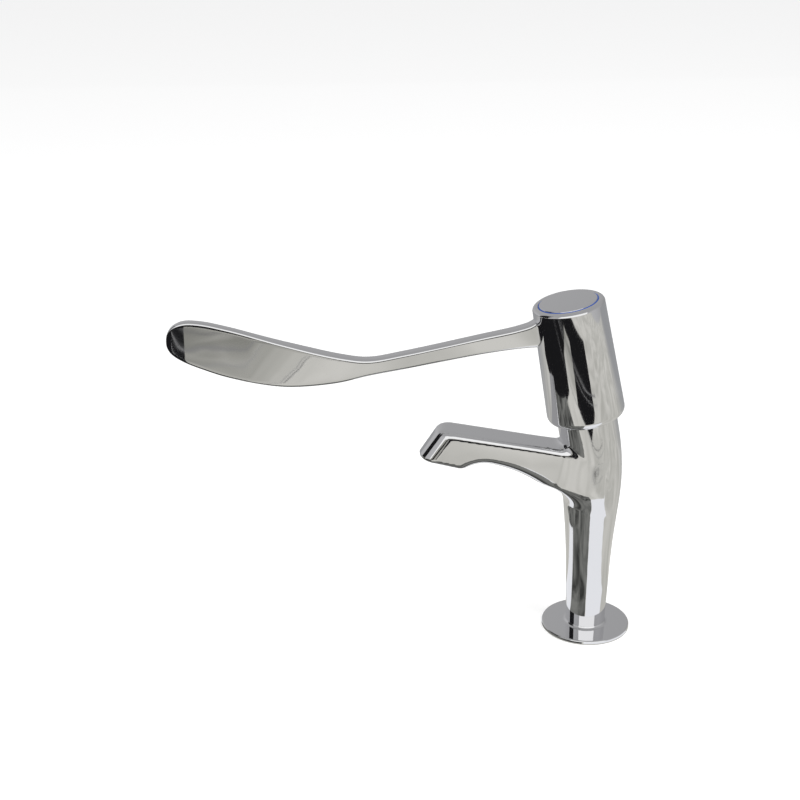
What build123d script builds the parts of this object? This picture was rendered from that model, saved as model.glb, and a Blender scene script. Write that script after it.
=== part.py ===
"""Elbow lever pillar tap: high-neck body, quarter-turn ceramic cartridge and long elbow lever.

Millimetres. The origin is the centre of the base gasket's underside, on the deck, and +Z is up.
The spout and the closed lever point along -Y, and "reach" is a distance forward, along -Y.
The head, its lever and the cartridge share one axis, which leans forward over the spout.
"""

import os
from math import atan2, cos, degrees, radians, sin, tan

from build123d import *

# Head, with heights along its leaning axis above the skirt's foot
head_lean = 11.0
head_reach = 4.7
head_above_spout = 3.6
head_length = 67.2
head_foot_radius = 21.5
head_top_radius = 19.5
head_bore_radius = 17.0
head_roof = 6.5
head_foot_round = 4.0
head_top_round = 2.0

# Body casting: column, bend and valve chamber
column_foot_radius = 11.2
chamber_radius = 16.4
chamber_top = 5.0
bend_reach = 14.0
foot_round = 1.6
column_bore_radius = 5.5
column_height_shares = (0.0, 0.25, 0.52, 0.80, 1.0)
column_growth_shares = (0.0, 0.20, 0.42, 0.76, 1.0)

# Spout arm: flat top, arched underside and leaning nozzle
spout_half_width = 9.9
spout_rise = 11.0
spout_top_reach = 85.6
spout_top_height = 126.9
spout_top_round = 3.0
spout_under_round = 6.0
nozzle_lean = 34.0
nozzle_length = 20.2
nozzle_back = 13.43
nozzle_drop = 23.27
nozzle_corner_radius = 7.0
nozzle_rim_round = 1.5
arch_reach = 14.1
arch_radius = 36.0
arch_heading = 42.0
belly_heading = 15.0
hump_radius = 17.0
hump_heading = -35.0
waterway_radius = 5.0
waterway_rise = 12.5
waterway_drop = 8.5
waterway_middle_share = 0.493
waterway_root_share = 0.853
waterway_end_margin = 2.4

# Outlet insert, with depths above the nozzle's open end
outlet_radius = 7.75
outlet_depth = 9.0
outlet_port_radius = 5.6
outlet_port_depth = 15.0
outlet_fit_clearance = 0.05
outlet_bush_bore = 6.8
outlet_lip_bore = 6.1
outlet_lip_thickness = 0.9
outlet_washer_thickness = 1.6
straightener_thickness = 4.4
straightener_hole_radius = 0.85
straightener_pitch = 2.4
straightener_rings = 2

# Base and deck fixing
flange_radius = 25.0
flange_top = 2.6
flange_lift = 0.2
flange_recess = 1.4
flange_edge_round = 0.8
gasket_radius = 23.0
gasket_bore_radius = 11.0
thread_radius = 10.48
thread_depth = 1.16
tail_length = 55.0
tail_bore_radius = 6.5
tail_chamfer = 1.0
spigot_radius = 8.6
spigot_length = 15.0
spigot_clearance = 0.05
tail_seal_section = 1.6
tail_seal_height = 11.0
runout_width = 1.2
deck_thickness = 12.0
hat_brim_radius = 21.0
hat_brim_thickness = 3.0
hat_collar_radius = 14.0
hat_collar_height = 6.0
deck_fit_clearance = 0.3
nut_hex = 30.0
nut_height = 9.0
nut_flange_radius = 18.0
nut_flange_thickness = 2.0
thread_clearance = 0.05

# Cartridge housing, seat and discs, with heights along the leaning axis
chamber_bore_radius = 9.6
chamber_thread_bore = 10.5
chamber_floor = -34.0
seat_port_radius = 6.0
seat_port_depth = 14.0
seat_seal_radius = 9.0
seat_seal_thickness = 2.5
housing_thread_radius = 10.45
housing_thread_foot = -6.0
housing_radius = 9.2
housing_foot = -30.5
housing_hex = 24.0
housing_hex_height = 6.0
housing_neck_radius = 8.2
housing_top = 22.0
housing_cavity_radius = 8.0
housing_cavity_top = -3.0
housing_window_width = 9.0
housing_window_height = 6.5
housing_seal_section = 1.6
housing_seal_height = -3.6
disc_radius = 7.9
fixed_disc_thickness = 4.0
moving_disc_thickness = 3.6
disc_gap = 0.02
port_angle = 80.0
port_inner_radius = 2.4
port_outer_radius = 6.6

# Spindle, its seals, stop and clip
spindle_radius = 5.0
spindle_clearance = 0.05
spindle_collar_radius = 7.4
spindle_collar_thickness = 2.4
thrust_washer_thickness = 1.0
fork_half_length = 7.3
fork_width = 4.4
fork_thickness = 3.6
fork_engagement = 1.5
fork_clearance = 0.05
spindle_shoulder = 24.6
spindle_top = 36.0
spline_root_radius = 3.7
spline_depth = 0.35
spline_teeth = 20
spline_tooth_share = 0.5
spline_clearance = 0.05
spindle_seal_section = 1.48
spindle_seal_root = 3.55
spindle_seal_heights = (4.0, 9.0)
stop_lug_radius = 7.6
stop_lug_angle = 30.0
stop_lug_height = 2.6
stop_slack = 1.0
stop_floor = 19.2
travel = 90.0
clip_groove_radius = 4.1
clip_outer_radius = 6.4
clip_thickness = 1.0
clip_gap_width = 4.0
clip_lift = 0.1
groove_slack = 0.1

# Handle fixing and cap
hub_radius = 9.5
insert_radius = 7.0
insert_flat = 6.3
insert_top = 37.0
insert_clearance = 0.05
screw_radius = 2.5
screw_clearance = 0.04
screw_passage_radius = 2.8
screw_length = 17.0
screw_hole_depth = 12.0
screw_head_radius = 4.6
screw_head_height = 3.4
screw_socket = 4.0
screw_socket_depth = 2.2
screw_pocket_radius = 5.4
screw_pocket_floor = 42.0
screw_washer_radius = 4.9
screw_washer_thickness = 1.0
cap_recess_radius = 16.4
cap_recess_depth = 5.0
cap_radius = 15.7
cap_plug_radius = 14.6
cap_proud = 0.6
cap_thickness = 1.6
cap_round = 0.5
cap_well_radius = 12.6
ring_bore_radius = 14.65
cap_fit_clearance = 0.05

# Glide ring that steadies the skirt on the body's neck
glide_groove_foot = 1.0
glide_groove_height = 2.6
glide_groove_depth = 1.2
glide_clearance = 0.06

# Lever: side outline as (reach, rise above the skirt's foot), and half widths, from head to tip
lever_top_rises = (
    (30.0, 68.5), (37.5, 57.1), (46.0, 51.7), (64.0, 48.2), (104.5, 39.9), (124.0, 36.9),
    (138.0, 38.7), (168.7, 46.8), (200.0, 56.5), (219.0, 59.8), (229.5, 56.9),
)
lever_tip_reach = 232.9
lever_tip_rise = 49.1
lever_under_rises = (
    (26.0, 38.1), (37.0, 40.5), (46.0, 40.1), (64.0, 37.7), (104.5, 30.5), (124.0, 27.1),
    (142.0, 23.1), (168.7, 21.7), (200.0, 28.5), (219.0, 35.3), (229.5, 41.5),
)
lever_section_shares = (0.0, 0.04, 0.08, 0.14, 0.22, 0.32, 0.42, 0.50, 0.58, 0.68, 0.78, 0.87, 0.93, 0.97)
lever_root_half_width = 5.6
lever_stem_half_width = 4.4
lever_blade_half_width = 2.8
lever_nose_half_width = 1.9
lever_stem_share = 0.14
lever_waist_share = 0.46
lever_blade_share = 0.68
lever_nose_share = 0.97
lever_edge_share = 0.62

overrun = 1.0


def plane_at(reach, height, lean=0.0):
    """A plane at a point of the middle plane, its normal leaning forward by an angle from +Z."""
    angle = radians(lean)
    return Plane(
        origin=(0, -reach, height), x_dir=(0, -cos(angle), -sin(angle)), z_dir=(0, -sin(angle), cos(angle))
    )


def finish(piece, name):
    """Label a finished piece and write it under its own name."""
    piece.label = name
    export_step(piece, "parts/" + name + ".step")


os.makedirs("parts", exist_ok=True)

head_height = spout_top_height + head_above_spout
side = Plane(origin=(0, 0, 0), x_dir=(0, -1, 0), z_dir=(-1, 0, 0))
head_base = plane_at(head_reach, head_height, head_lean)
head_axis = Axis(head_base.origin, head_base.z_dir)
head_side = Plane(origin=head_base.origin, x_dir=head_base.x_dir, z_dir=(-1, 0, 0))

# Centre line of the body: up the column, round a gentle bend, then along the leaning axis
corner_height = head_height - head_reach / tan(radians(head_lean))
bend_radius = bend_reach / tan(radians(head_lean) / 2)
bend_start = corner_height - bend_reach
bend_end_reach = bend_reach * sin(radians(head_lean))
bend_end_height = corner_height + bend_reach * cos(radians(head_lean))
column_growth = chamber_radius - column_foot_radius
column_rise = bend_start - flange_top

# The nozzle's front edge, and the foot of the spout's flat top inside the body
spout_plane_slope = tan(radians(spout_rise))
spout_back_height = spout_top_height - spout_top_reach * spout_plane_slope
nozzle_front_reach = spout_top_reach + nozzle_length * sin(radians(nozzle_lean))
nozzle_front_height = spout_top_height - nozzle_length * cos(radians(nozzle_lean))

# The under side's arcs: the middle one reaches from the arch to the nozzle, the arch starts below
arch_advance = arch_radius * (1 - sin(radians(arch_heading)))
hump_advance = hump_radius * (sin(radians(belly_heading)) - sin(radians(hump_heading)))
belly_advance = spout_top_reach - nozzle_back - arch_reach - arch_advance - hump_advance
belly_radius = belly_advance / (sin(radians(arch_heading)) - sin(radians(belly_heading)))
arch_gain = arch_radius * cos(radians(arch_heading))
belly_gain = belly_radius * (cos(radians(belly_heading)) - cos(radians(arch_heading)))
hump_gain = hump_radius * (cos(radians(hump_heading)) - cos(radians(belly_heading)))
arch_height = spout_top_height - nozzle_drop - arch_gain - belly_gain - hump_gain
waterway_reach = waterway_middle_share * spout_top_reach
waterway_height = spout_back_height + waterway_reach * spout_plane_slope - waterway_drop
waterway_back = waterway_root_share * waterway_reach
waterway_front = spout_top_reach - waterway_reach - waterway_end_margin

# Spout arm: its side outline given its width, then rounded as cast and polished
with BuildPart() as arm:
    with BuildSketch(side.offset(-spout_half_width)):
        with BuildLine():
            Line((0, arch_height), (arch_reach, arch_height))
            arch = JernArc((arch_reach, arch_height), (0, 1), arch_radius, arch_heading - 90)
            belly = JernArc(arch @ 1, arch % 1, belly_radius, belly_heading - arch_heading)
            hump = JernArc(belly @ 1, belly % 1, hump_radius, hump_heading - belly_heading)
            Polyline(
                hump @ 1,
                (nozzle_front_reach, nozzle_front_height),
                (spout_top_reach, spout_top_height),
                (0, spout_back_height),
                (0, arch_height),
            )
        make_face()
    extrude(amount=2 * spout_half_width)
    nozzle_line = plane_at(spout_top_reach, spout_top_height, -nozzle_lean).z_dir
    fillet(arm.edges().filter_by(Axis((0, 0, 0), nozzle_line)), nozzle_corner_radius)
    top_face = arm.faces().filter_by(plane_at(0, spout_back_height, -spout_rise)).sort_by(Axis.Z)[-1]
    fillet(top_face.edges().filter_by(lambda edge: edge.center().Y < -overrun), spout_top_round)
    wall_edges = arm.edges().filter_by(lambda edge: abs(edge.center().X) > spout_half_width - groove_slack)
    under_edges = wall_edges.filter_by(GeomType.CIRCLE)
    fillet(under_edges, spout_under_round)

nozzle_rear_reach = -(side.from_local_coords(hump @ 1)).Y
nozzle_rear_height = side.from_local_coords(hump @ 1).Z
outlet_rise = nozzle_front_height - nozzle_rear_height
outlet_run = nozzle_front_reach - nozzle_rear_reach
outlet_slope = degrees(atan2(outlet_rise, outlet_run))
outlet_plane = plane_at(
    nozzle_rear_reach + outlet_run / 2, nozzle_rear_height + outlet_rise / 2, -outlet_slope
)

with BuildPart() as spout:
    add(arm.part)
    outlet_face = spout.faces().filter_by(outlet_plane).sort_by(Axis.Z)[0]
    fillet(outlet_face.edges(), nozzle_rim_round)

# Body casting: turned column, bent neck and chamber, foot, spout, then the waterways and seats
with BuildPart() as tap_body:
    with BuildSketch(side):
        with BuildLine():
            wall_points = [
                (
                    column_foot_radius + growth_share * column_growth,
                    flange_top + height_share * column_rise,
                )
                for height_share, growth_share in zip(column_height_shares, column_growth_shares)
            ]
            wall = Spline(*wall_points, tangents=((0, 1), (0, 1)))
            Polyline(wall @ 1, (0, bend_start), (0, flange_top), wall @ 0)
        make_face()
    revolve(axis=Axis.Z)
    with BuildSketch(Plane.XY.offset(bend_start)):
        Circle(chamber_radius)
    revolve(axis=Axis((0, -bend_radius, bend_start), (1, 0, 0)), revolution_arc=head_lean)
    with BuildSketch(plane_at(bend_end_reach, bend_end_height, head_lean)):
        Circle(chamber_radius)
    extrude(amount=(head_height - bend_end_height) / cos(radians(head_lean)) + chamber_top)
    with BuildSketch(side):
        with BuildLine():
            foot_line = Polyline(
                (column_foot_radius + groove_slack, flange_top + foot_round),
                (column_bore_radius, flange_top + foot_round),
                (column_bore_radius, flange_top),
                (column_foot_radius + foot_round, flange_top),
            )
            RadiusArc(foot_line @ 1, foot_line @ 0, foot_round)
        make_face()
    revolve(axis=Axis.Z)
    add(spout.part)
    with BuildSketch(Plane.XY):
        Circle(column_bore_radius)
    extrude(amount=bend_start, mode=Mode.SUBTRACT)
    with BuildSketch(Plane.XY):
        Circle(spigot_radius + spigot_clearance)
    extrude(amount=flange_recess + spigot_length + groove_slack, mode=Mode.SUBTRACT)
    with BuildSketch(head_base.offset(chamber_floor - seat_port_depth)):
        Circle(seat_port_radius)
    extrude(amount=seat_port_depth + overrun, mode=Mode.SUBTRACT)
    with BuildSketch(head_base.offset(chamber_floor)):
        Circle(chamber_bore_radius)
    extrude(amount=chamber_top - chamber_floor, mode=Mode.SUBTRACT)
    with BuildSketch(head_base.offset(housing_thread_foot)):
        Circle(chamber_thread_bore)
    extrude(amount=chamber_top - housing_thread_foot, mode=Mode.SUBTRACT)
    with BuildSketch(head_base.offset(glide_groove_foot)):
        Circle(chamber_radius + overrun)
        Circle(chamber_radius - glide_groove_depth, mode=Mode.SUBTRACT)
    extrude(amount=glide_groove_height, mode=Mode.SUBTRACT)
    waterway_plane = plane_at(waterway_reach, waterway_height, 90 - waterway_rise)
    with BuildSketch(waterway_plane.offset(-waterway_back)):
        Circle(waterway_radius)
    extrude(amount=waterway_back + waterway_front, mode=Mode.SUBTRACT)
    with BuildSketch(outlet_plane):
        Circle(outlet_port_radius)
    extrude(amount=outlet_port_depth, mode=Mode.SUBTRACT)
    with BuildSketch(outlet_plane):
        Circle(outlet_radius)
    extrude(amount=outlet_depth, mode=Mode.SUBTRACT)
finish(tap_body.part, "tap_body")

# Outlet insert: washer against the shoulder, straightener, and the bush that holds them
with BuildPart() as outlet_bush:
    with BuildSketch(outlet_plane):
        Circle(outlet_radius - outlet_fit_clearance)
        Circle(outlet_lip_bore, mode=Mode.SUBTRACT)
    extrude(amount=outlet_lip_thickness)
    with BuildSketch(outlet_plane.offset(outlet_lip_thickness)):
        Circle(outlet_radius - outlet_fit_clearance)
        Circle(outlet_bush_bore, mode=Mode.SUBTRACT)
    extrude(amount=outlet_depth - outlet_washer_thickness - outlet_lip_thickness)
finish(outlet_bush.part, "outlet_bush")

with BuildPart() as flow_straightener:
    with BuildSketch(outlet_plane.offset(outlet_lip_thickness)):
        Circle(outlet_bush_bore - outlet_fit_clearance)
        Circle(straightener_hole_radius, mode=Mode.SUBTRACT)
        for ring in range(1, straightener_rings + 1):
            with PolarLocations(ring * straightener_pitch, 6 * ring):
                Circle(straightener_hole_radius, mode=Mode.SUBTRACT)
    extrude(amount=straightener_thickness)
finish(flow_straightener.part, "flow_straightener")

with BuildPart() as outlet_washer:
    with BuildSketch(outlet_plane.offset(outlet_depth - outlet_washer_thickness)):
        Circle(outlet_radius - outlet_fit_clearance)
        Circle(outlet_port_radius, mode=Mode.SUBTRACT)
    extrude(amount=outlet_washer_thickness)
finish(outlet_washer.part, "outlet_washer")

# Base flange, its gasket and the threaded tail with the deck fixings
with BuildPart() as base_flange:
    with BuildSketch(Plane.XY.offset(flange_lift)):
        Circle(flange_radius)
    extrude(amount=flange_top - flange_lift)
    fillet(base_flange.edges().sort_by(Axis.Z)[-1], flange_edge_round)
    with BuildSketch(Plane.XY):
        Circle(gasket_radius)
    extrude(amount=flange_recess, mode=Mode.SUBTRACT)
    with BuildSketch(Plane.XY):
        Circle(spigot_radius + deck_fit_clearance)
    extrude(amount=flange_top, mode=Mode.SUBTRACT)
finish(base_flange.part, "base_flange")

with BuildPart() as base_gasket:
    with BuildSketch(Plane.XY):
        Circle(gasket_radius - spigot_clearance)
        Circle(gasket_bore_radius, mode=Mode.SUBTRACT)
    extrude(amount=flange_recess)
finish(base_gasket.part, "base_gasket")

nut_foot = -deck_thickness - hat_brim_thickness - nut_height
with BuildPart() as threaded_tail:
    with BuildSketch(Plane.XY.offset(-tail_length)):
        Circle(thread_radius)
    extrude(amount=tail_length + flange_recess)
    chamfer(threaded_tail.edges().sort_by(Axis.Z)[0], tail_chamfer)
    with BuildSketch(Plane.XY.offset(nut_foot - 2 * runout_width)):
        Circle(thread_radius + overrun)
        Circle(thread_radius - thread_depth, mode=Mode.SUBTRACT)
    extrude(amount=runout_width, mode=Mode.SUBTRACT)
    with BuildSketch(Plane.XY.offset(flange_recess)):
        Circle(spigot_radius)
    extrude(amount=spigot_length)
    with BuildSketch(Plane.XY.offset(tail_seal_height)):
        Circle(spigot_radius + overrun)
        Circle(spigot_radius + spigot_clearance - tail_seal_section, mode=Mode.SUBTRACT)
    extrude(amount=tail_seal_section + groove_slack, mode=Mode.SUBTRACT)
    with BuildSketch(Plane.XY.offset(-tail_length)):
        Circle(tail_bore_radius)
    extrude(amount=tail_length + flange_recess + spigot_length, mode=Mode.SUBTRACT)
finish(threaded_tail.part, "threaded_tail")


def seal_ring(plane, outer_radius, section):
    """A round-section ring lying in a plane, its lowest point on it."""
    with BuildPart() as ring:
        with BuildSketch(Plane(plane.origin, x_dir=plane.x_dir, z_dir=-plane.y_dir)):
            with Locations((outer_radius - section / 2, section / 2)):
                Circle(section / 2)
        revolve(axis=Axis(plane.origin, plane.z_dir))
    return ring.part


tail_seal = seal_ring(
    Plane.XY.offset(tail_seal_height + groove_slack / 2), spigot_radius + spigot_clearance, tail_seal_section
)
finish(tail_seal, "tail_seal")

hat_bore = thread_radius + deck_fit_clearance
with BuildPart() as deck_washer:
    with BuildSketch(Plane.XY.offset(-deck_thickness - hat_brim_thickness)):
        Circle(hat_brim_radius)
    extrude(amount=hat_brim_thickness)
    with BuildSketch(Plane.XY.offset(-deck_thickness)):
        Circle(hat_collar_radius)
    extrude(amount=hat_collar_height)
    with BuildSketch(Plane.XY.offset(-deck_thickness - hat_brim_thickness)):
        Circle(hat_bore)
    extrude(amount=hat_brim_thickness + hat_collar_height, mode=Mode.SUBTRACT)
finish(deck_washer.part, "deck_washer")

with BuildPart() as backnut:
    with BuildSketch(Plane.XY.offset(nut_foot)):
        RegularPolygon(nut_hex / 2, 6, major_radius=False)
    extrude(amount=nut_height)
    with BuildSketch(Plane.XY.offset(nut_foot + nut_height - nut_flange_thickness)):
        Circle(nut_flange_radius)
    extrude(amount=nut_flange_thickness)
    with BuildSketch(Plane.XY.offset(nut_foot)):
        Circle(thread_radius + thread_clearance)
    extrude(amount=nut_height, mode=Mode.SUBTRACT)
finish(backnut.part, "backnut")

# Cartridge housing: threaded shell with a hexagon, side windows and a stop slot in its neck
cavity_height = housing_cavity_top - housing_foot
window_foot = housing_foot + fixed_disc_thickness
with BuildPart() as cartridge_housing:
    with BuildSketch(head_base.offset(housing_foot)):
        Circle(housing_radius)
    extrude(amount=housing_thread_foot - housing_foot)
    with BuildSketch(head_base.offset(housing_thread_foot)):
        Circle(housing_thread_radius)
    extrude(amount=chamber_top - housing_thread_foot)
    with BuildSketch(head_base.offset(chamber_top)):
        RegularPolygon(housing_hex / 2, 6, major_radius=False)
    extrude(amount=housing_hex_height)
    with BuildSketch(head_base.offset(chamber_top + housing_hex_height)):
        Circle(housing_neck_radius)
    extrude(amount=housing_top - chamber_top - housing_hex_height)
    with BuildSketch(head_base.offset(housing_foot)):
        Circle(spindle_radius + spindle_clearance)
    extrude(amount=housing_top - housing_foot, mode=Mode.SUBTRACT)
    with BuildSketch(head_base.offset(housing_foot)):
        Circle(housing_cavity_radius)
    extrude(amount=cavity_height, mode=Mode.SUBTRACT)
    with BuildSketch(head_base.offset(window_foot)):
        Rectangle(2 * housing_radius + overrun, housing_window_width)
    extrude(amount=housing_window_height, mode=Mode.SUBTRACT)
    with BuildSketch(head_base.offset(housing_seal_height)):
        Circle(housing_thread_radius + overrun)
        Circle(chamber_thread_bore - housing_seal_section, mode=Mode.SUBTRACT)
    extrude(amount=housing_seal_section + groove_slack, mode=Mode.SUBTRACT)
    stop_sweep = travel + stop_lug_angle + 2 * stop_slack
    with BuildSketch(head_base.offset(stop_floor)):
        with BuildLine():
            slot_arc = CenterArc((0, 0), housing_neck_radius + overrun, -stop_sweep / 2, stop_sweep)
            Polyline(slot_arc @ 1, (0, 0), slot_arc @ 0)
        make_face()
    extrude(amount=housing_top - stop_floor, mode=Mode.SUBTRACT)
finish(cartridge_housing.part, "cartridge_housing")

housing_seal = seal_ring(
    head_base.offset(housing_seal_height + groove_slack / 2), chamber_thread_bore, housing_seal_section
)
finish(housing_seal, "housing_seal")

with BuildPart() as seat_seal:
    with BuildSketch(head_base.offset(chamber_floor)):
        Circle(seat_seal_radius)
        Circle(seat_port_radius, mode=Mode.SUBTRACT)
    extrude(amount=seat_seal_thickness)
finish(seat_seal.part, "seat_seal")


with BuildSketch() as disc_ports:
    for turn in (0, 180):
        with BuildLine():
            outer_arc = CenterArc((0, 0), port_outer_radius, turn - port_angle / 2, port_angle)
            inner_arc = CenterArc((0, 0), port_inner_radius, turn - port_angle / 2, port_angle)
            Line(outer_arc @ 0, inner_arc @ 0)
            Line(outer_arc @ 1, inner_arc @ 1)
        make_face()

# Ceramic discs: the fixed one over the seat, the moving one turned a quarter turn when shut
fixed_disc_foot = chamber_floor + seat_seal_thickness
moving_disc_foot = fixed_disc_foot + fixed_disc_thickness + disc_gap
moving_disc_top = moving_disc_foot + moving_disc_thickness
with BuildPart() as fixed_disc:
    with BuildSketch(head_base.offset(fixed_disc_foot)):
        Circle(disc_radius)
        add(disc_ports.sketch, rotation=travel, mode=Mode.SUBTRACT)
    extrude(amount=fixed_disc_thickness)
finish(fixed_disc.part, "fixed_disc")

with BuildPart() as moving_disc:
    with BuildSketch(head_base.offset(moving_disc_foot)):
        Circle(disc_radius)
        add(disc_ports.sketch, mode=Mode.SUBTRACT)
    extrude(amount=moving_disc_thickness)
    with BuildSketch(head_base.offset(moving_disc_top - fork_engagement)):
        Rectangle(fork_width + 2 * fork_clearance, 2 * disc_radius + overrun)
    extrude(amount=fork_engagement, mode=Mode.SUBTRACT)
finish(moving_disc.part, "moving_disc")

# Spindle: fork that drives the disc, collar, seal grooves, stop lug, clip groove and splines
fork_foot = moving_disc_top - fork_engagement + fork_clearance
collar_top = housing_cavity_top - thrust_washer_thickness - disc_gap
spline_foot = spindle_shoulder


def spline_profile(root_radius):
    """Toothed outline of the splines."""
    tooth_width = 2 * root_radius * sin(radians(180 / spline_teeth)) * spline_tooth_share
    with BuildSketch() as profile:
        Circle(root_radius)
        with PolarLocations(root_radius, spline_teeth):
            Rectangle(2 * spline_depth, tooth_width)
    return profile.sketch


with BuildPart() as spindle:
    with BuildSketch(head_base.offset(fork_foot)):
        Rectangle(fork_width, 2 * fork_half_length)
    extrude(amount=fork_thickness)
    with BuildSketch(head_base.offset(fork_foot + fork_thickness)):
        Circle(spindle_radius)
    extrude(amount=spindle_shoulder - fork_foot - fork_thickness)
    with BuildSketch(head_base.offset(collar_top - spindle_collar_thickness)):
        Circle(spindle_collar_radius)
    extrude(amount=spindle_collar_thickness)
    with BuildSketch(head_base.offset(spline_foot)):
        add(spline_profile(spline_root_radius))
    extrude(amount=spindle_top - spline_foot)
    with BuildSketch(head_base.offset(stop_floor + groove_slack)):
        with BuildLine():
            lug_start = (travel + stop_lug_angle) / -2
            lug_arc = CenterArc((0, 0), stop_lug_radius, lug_start, stop_lug_angle)
            Polyline(lug_arc @ 1, (0, 0), lug_arc @ 0)
        make_face()
    extrude(amount=stop_lug_height)
    for seal_height in spindle_seal_heights:
        with BuildSketch(head_base.offset(seal_height)):
            Circle(spindle_radius + overrun)
            Circle(spindle_seal_root, mode=Mode.SUBTRACT)
        extrude(amount=spindle_seal_section + groove_slack, mode=Mode.SUBTRACT)
    with BuildSketch(head_base.offset(housing_top + clip_lift)):
        Circle(spindle_radius + overrun)
        Circle(clip_groove_radius, mode=Mode.SUBTRACT)
    extrude(amount=clip_thickness + groove_slack, mode=Mode.SUBTRACT)
    with BuildSketch(head_base.offset(spindle_top - screw_hole_depth)):
        Circle(screw_radius + screw_clearance)
    extrude(amount=screw_hole_depth, mode=Mode.SUBTRACT)
finish(spindle.part, "spindle")

spindle_seals = Compound(
    children=[
        seal_ring(
            head_base.offset(seal_height + groove_slack / 2),
            spindle_seal_root + spindle_seal_section,
            spindle_seal_section,
        )
        for seal_height in spindle_seal_heights
    ]
)
finish(spindle_seals, "spindle_seals")

with BuildPart() as thrust_washer:
    with BuildSketch(head_base.offset(housing_cavity_top - thrust_washer_thickness)):
        Circle(spindle_collar_radius)
        Circle(spindle_radius + spindle_clearance, mode=Mode.SUBTRACT)
    extrude(amount=thrust_washer_thickness)
finish(thrust_washer.part, "thrust_washer")

with BuildPart() as spindle_clip:
    with BuildSketch(head_base.offset(housing_top + clip_lift + groove_slack / 2)):
        Circle(clip_outer_radius)
        Circle(clip_groove_radius + groove_slack / 2, mode=Mode.SUBTRACT)
        with Locations((-clip_outer_radius, 0)):
            Rectangle(2 * clip_groove_radius, clip_gap_width, mode=Mode.SUBTRACT)
    extrude(amount=clip_thickness)
finish(spindle_clip.part, "spindle_clip")

# Glide ring in the neck's groove, a running fit in the skirt
with BuildPart() as glide_ring:
    with BuildSketch(head_base.offset(glide_groove_foot + groove_slack / 2)):
        Circle(head_bore_radius - glide_clearance)
        Circle(chamber_radius - glide_groove_depth + groove_slack / 2, mode=Mode.SUBTRACT)
    extrude(amount=glide_groove_height - groove_slack)
finish(glide_ring.part, "glide_ring")


def insert_profile(growth):
    """Round outline of the spline insert with two flats."""
    with BuildSketch() as profile:
        Circle(insert_radius + growth)
        Rectangle(2 * (insert_flat + growth), 2 * insert_radius + overrun, mode=Mode.INTERSECT)
    return profile.sketch


# Lever: sections joining its top and under outlines at equal shares of their length
lever_tip = (lever_tip_reach, head_height + lever_tip_rise)
top_line = Spline(*[(reach, head_height + rise) for reach, rise in lever_top_rises], lever_tip)
under_line = Spline(*[(reach, head_height + rise) for reach, rise in lever_under_rises], lever_tip)


def lever_half_width(share):
    """Half the lever's thickness at a share of its length: root, stem, waist, blade and nose."""
    stations = (
        (0.0, lever_root_half_width),
        (lever_stem_share, lever_stem_half_width),
        (lever_waist_share, lever_stem_half_width),
        (lever_blade_share, lever_blade_half_width),
        (lever_nose_share, lever_nose_half_width),
    )
    for (start, first), (end, second) in zip(stations, stations[1:]):
        if share <= end:
            blend = (share - start) / (end - start)
            blend = blend * blend * (3 - 2 * blend)
            return first + (second - first) * blend
    return lever_nose_half_width


with BuildPart() as lever:
    for share in lever_section_shares:
        top_point = side.from_local_coords(top_line @ share)
        under_point = side.from_local_coords(under_line @ share)
        up = (top_point - under_point).normalized()
        middle = (top_point + under_point) / 2
        half_width = lever_half_width(share)
        edge_round = half_width * lever_edge_share
        with BuildSketch(Plane(middle, x_dir=up, z_dir=up.cross(Vector(1, 0, 0)))):
            RectangleRounded((top_point - under_point).length, 2 * half_width, edge_round)
    loft()

# Lever handle: head and lever in one casting, hollow under its roof around a hub
with BuildPart() as lever_handle:
    with BuildSketch(head_side):
        Polygon(
            (0, 0),
            (head_foot_radius, 0),
            (head_top_radius, head_length),
            (0, head_length),
            align=None,
        )
    revolve(axis=head_axis)
    rims = lever_handle.edges().filter_by(GeomType.CIRCLE).sort_by(head_axis)
    fillet(rims[0], head_foot_round)
    rims = lever_handle.edges().filter_by(GeomType.CIRCLE).sort_by(head_axis)
    fillet(rims[-1], head_top_round)
    add(lever.part)
    with BuildSketch(head_base):
        Circle(head_bore_radius)
    extrude(amount=spindle_shoulder, mode=Mode.SUBTRACT)
    with BuildSketch(head_base):
        Circle(head_bore_radius)
        Circle(hub_radius, mode=Mode.SUBTRACT)
    extrude(amount=head_length - cap_recess_depth - head_roof, mode=Mode.SUBTRACT)
    with BuildSketch(head_base.offset(spindle_shoulder)):
        add(insert_profile(insert_clearance))
    extrude(amount=insert_top - spindle_shoulder, mode=Mode.SUBTRACT)
    with BuildSketch(head_base.offset(insert_top)):
        Circle(screw_passage_radius)
    extrude(amount=screw_pocket_floor - insert_top, mode=Mode.SUBTRACT)
    with BuildSketch(head_base.offset(screw_pocket_floor)):
        Circle(screw_pocket_radius)
    extrude(amount=head_length - screw_pocket_floor, mode=Mode.SUBTRACT)
    with BuildSketch(head_base.offset(head_length - cap_recess_depth)):
        Circle(cap_recess_radius)
    extrude(amount=cap_recess_depth, mode=Mode.SUBTRACT)
    with BuildSketch(head_base.offset(head_length)):
        Circle(head_foot_radius + overrun)
    extrude(amount=head_top_radius, mode=Mode.SUBTRACT)
finish(lever_handle.part, "lever_handle")

with BuildPart() as spline_insert:
    with BuildSketch(head_base.offset(spindle_shoulder)):
        add(insert_profile(0))
    extrude(amount=insert_top - spindle_shoulder)
    with BuildSketch(head_base.offset(spindle_shoulder)):
        add(spline_profile(spline_root_radius + spline_clearance))
    extrude(amount=insert_top - spindle_shoulder, mode=Mode.SUBTRACT)
finish(spline_insert.part, "spline_insert")

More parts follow.
